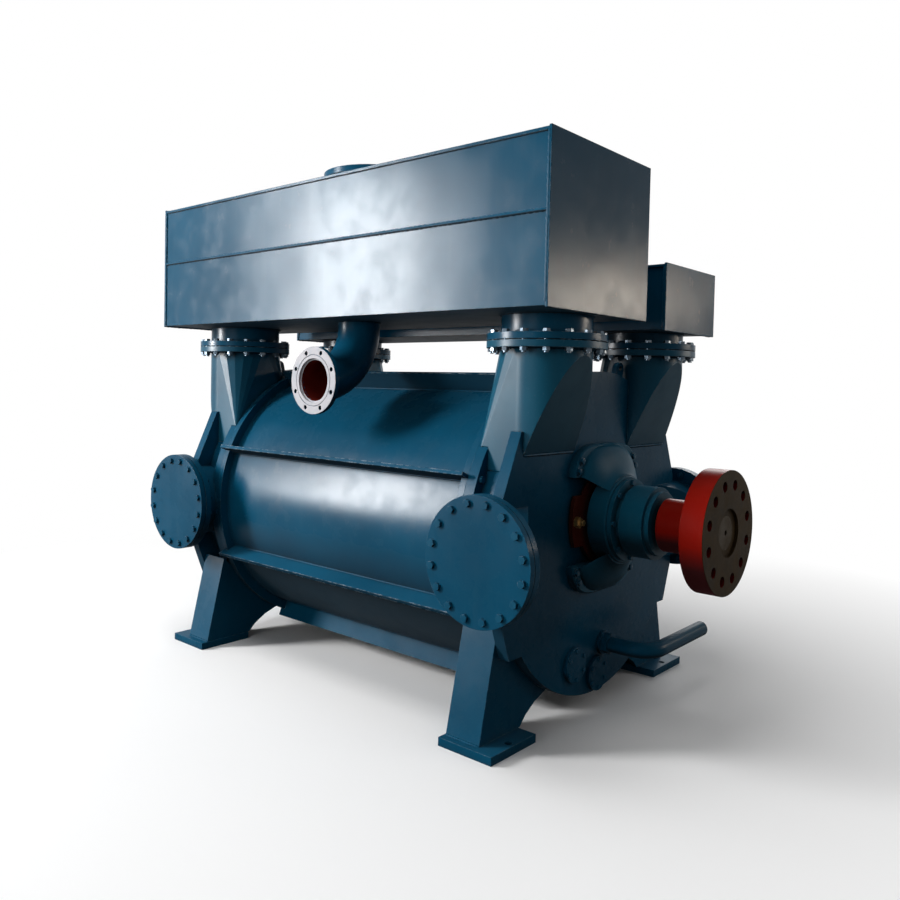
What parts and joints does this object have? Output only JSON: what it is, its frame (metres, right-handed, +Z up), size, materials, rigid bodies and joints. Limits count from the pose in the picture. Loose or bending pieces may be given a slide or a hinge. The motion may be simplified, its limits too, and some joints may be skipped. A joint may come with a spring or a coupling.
{
  "type": "liquid ring vacuum pump",
  "caption": "Large liquid ring vacuum pump on feet, ribbed round casing with fabricated end covers, separator and suction boxes on top, and a flanged coupling hub on the shaft.",
  "frame": {"origin": "centre of the four foundation bolt holes, on the floor plane under the shaft", "axes": "+X along the shaft to the drive end, -Y to the front with the separator box, +Z up"},
  "size_m": [3.224, 1.884, 2.666],
  "materials": {
    "pump_paint": "semi-gloss teal blue enamel",
    "box_paint": "semi-gloss teal blue enamel on plate",
    "elbow_paint": "teal blue enamel, flange face pale",
    "pipe_paint": "teal blue enamel",
    "cast_parts": "machined cast iron",
    "gasket": "flat gasket sheet",
    "painted_bolts": "overpainted hex bolts",
    "plated_bolts": "zinc plated",
    "gland_nuts": "oily and rust-stained",
    "packing": "braided packing",
    "gland_paint": "red oxide primer",
    "bare_steel": "machined",
    "coupling_paint": "gloss red, face oiled bare steel"
  },
  "bodies": {
    "pump": {"casing_shell": "pump_paint", "casing_ribs": "pump_paint", "port_plate_drive": "cast_parts", "port_plate_free": "cast_parts", "end_cover_drive": "pump_paint", "end_cover_free": "pump_paint", "nozzle_ducts_drive": "pump_paint", "nozzle_ducts_free": "pump_paint", "casing_bolts": "painted_bolts", "lifting_lugs": "pump_paint", "pedestal_drive": "pump_paint", "pedestal_free": "pump_paint", "inspection_covers": "pump_paint", "inspection_gaskets": "gasket", "inspection_bolts": "painted_bolts", "separator_box": "box_paint", "gas_outlet": "box_paint", "drain_elbow": "elbow_paint", "suction_box": "box_paint", "suction_inlet": "box_paint", "nozzle_gaskets": "gasket", "nozzle_bolts": "plated_bolts", "bearing_bracket_drive": "pump_paint", "bearing_bracket_free": "pump_paint", "bracket_bolts": "painted_bolts", "bearing_inner_covers": "pump_paint", "bearing_cover_drive": "pump_paint", "bearing_cover_free": "pump_paint", "bearing_cover_bolts": "painted_bolts", "bearing_outer_rings": "bare_steel", "packing_rings": "packing", "gland_followers": "gland_paint", "gland_studs": "gland_nuts", "liquid_pipe": "pipe_paint", "drain_blanks": "pump_paint", "drain_bolts": "painted_bolts"},
    "rotor": {"shaft": "bare_steel", "impeller": "cast_parts", "impeller_key": "bare_steel", "shaft_sleeves": "bare_steel", "bearing_inner_rings": "bare_steel", "bearing_roller_sets": "bare_steel", "bearing_nuts": "bare_steel", "coupling_hub": "coupling_paint", "coupling_key": "bare_steel"}
  },
  "joints": [
    {"name": "shaft_turn", "type": "hinge", "parent": "pump", "child": "rotor", "pos_m": [0, 0, 0.94], "axis": [1, 0, 0], "continuous": true}
  ]
}
